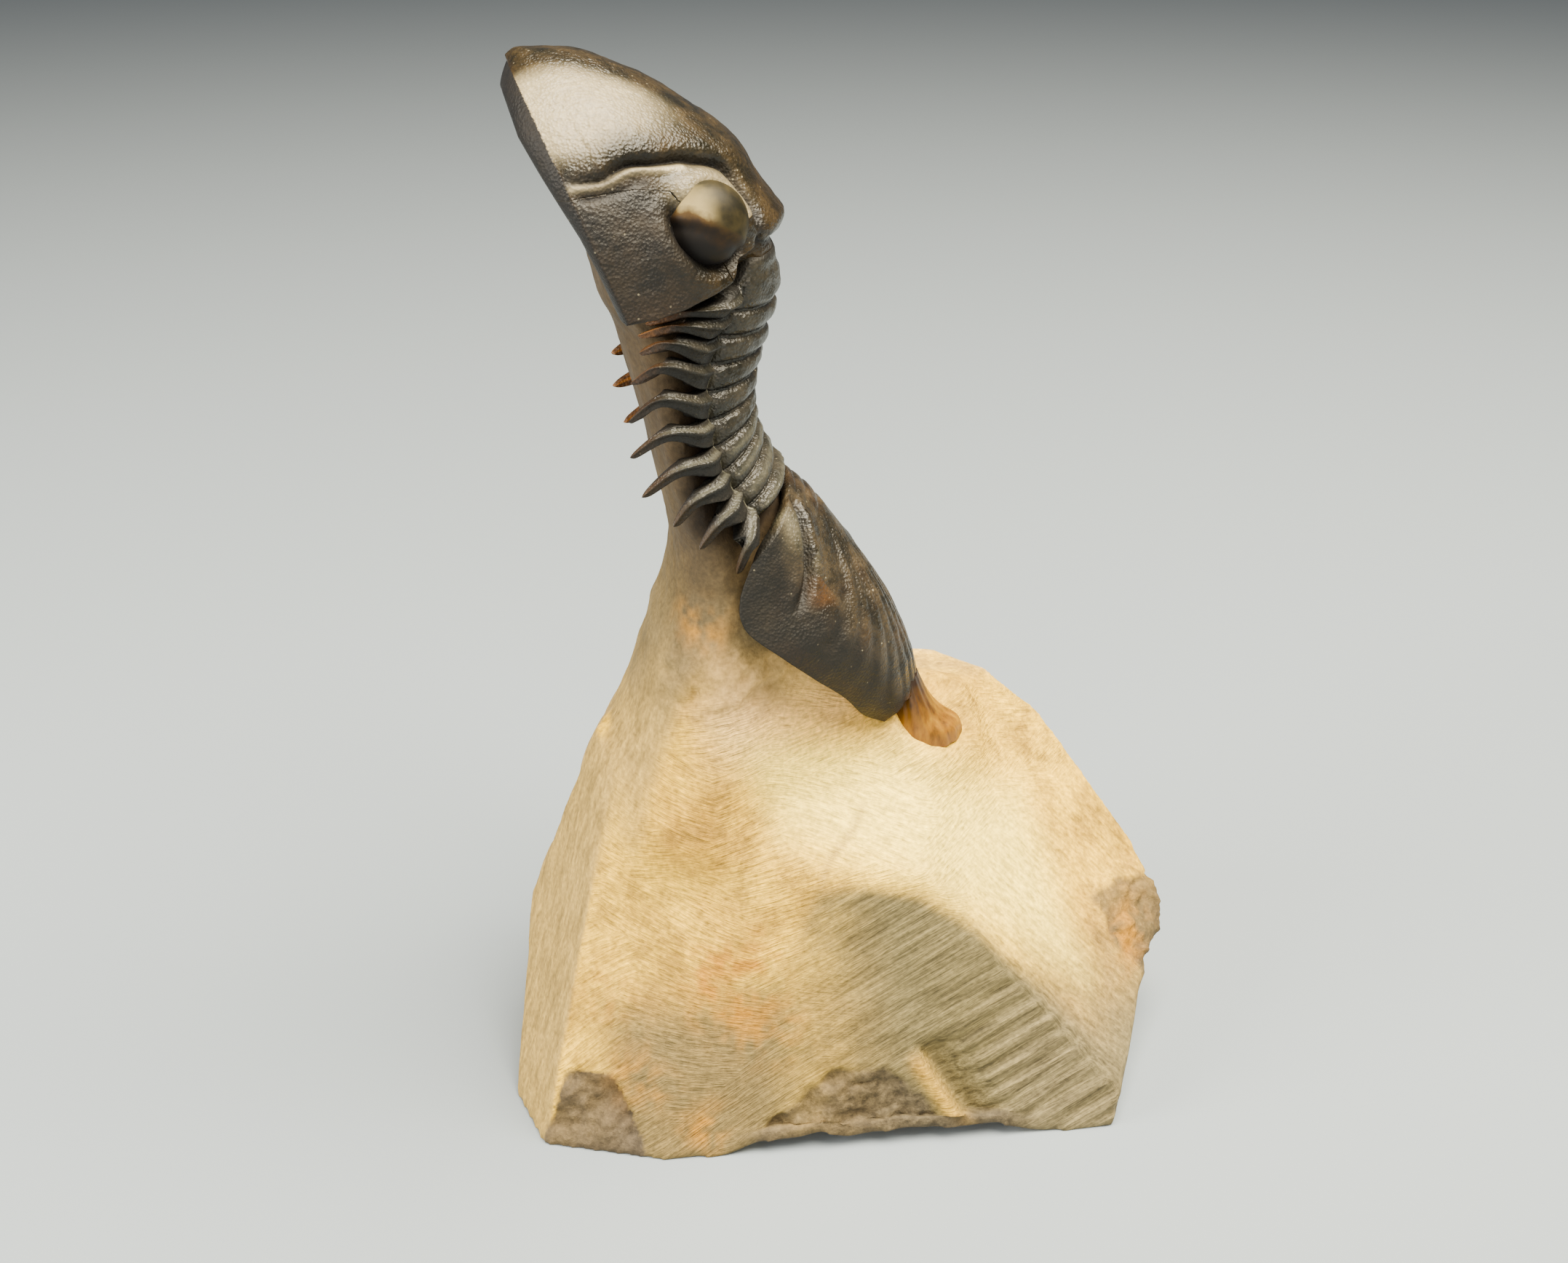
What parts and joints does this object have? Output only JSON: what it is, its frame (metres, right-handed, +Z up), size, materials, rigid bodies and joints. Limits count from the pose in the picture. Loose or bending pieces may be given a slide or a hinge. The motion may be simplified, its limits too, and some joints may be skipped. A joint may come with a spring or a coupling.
{
  "type": "fossil trilobite",
  "caption": "Paralejurus trilobite fossil prepared free of the rock: head, ringed thorax and fan-ribbed tail arch up from a ground limestone block that it stands on.",
  "frame": {"origin": "on the resting face of the block, in the animal's middle plane", "axes": "+Z up, +X from the animal's underside to its back, +Y from its left side to its right"},
  "size_m": [0.0677, 0.047, 0.1009],
  "materials": {
    "limestone": "ground and scraped stone, cream to grey-tan, matte",
    "fossil_shell": "calcite shell, dark grey-green to black-brown, polished by preparation",
    "eye_calcite": "calcite eye surface, cream cap over brown and violet-grey"
  },
  "bodies": {
    "root": {"matrix": "limestone", "cranidium": "fossil_shell", "free_cheek_left": "fossil_shell", "free_cheek_right": "fossil_shell", "eye_left": "eye_calcite", "eye_right": "eye_calcite", "thoracic_segment_01": "fossil_shell", "thoracic_segment_02": "fossil_shell", "thoracic_segment_03": "fossil_shell", "thoracic_segment_04": "fossil_shell", "thoracic_segment_05": "fossil_shell", "thoracic_segment_06": "fossil_shell", "thoracic_segment_07": "fossil_shell", "thoracic_segment_08": "fossil_shell", "thoracic_segment_09": "fossil_shell", "thoracic_segment_10": "fossil_shell", "pygidium": "fossil_shell"}
  },
  "joints": []
}
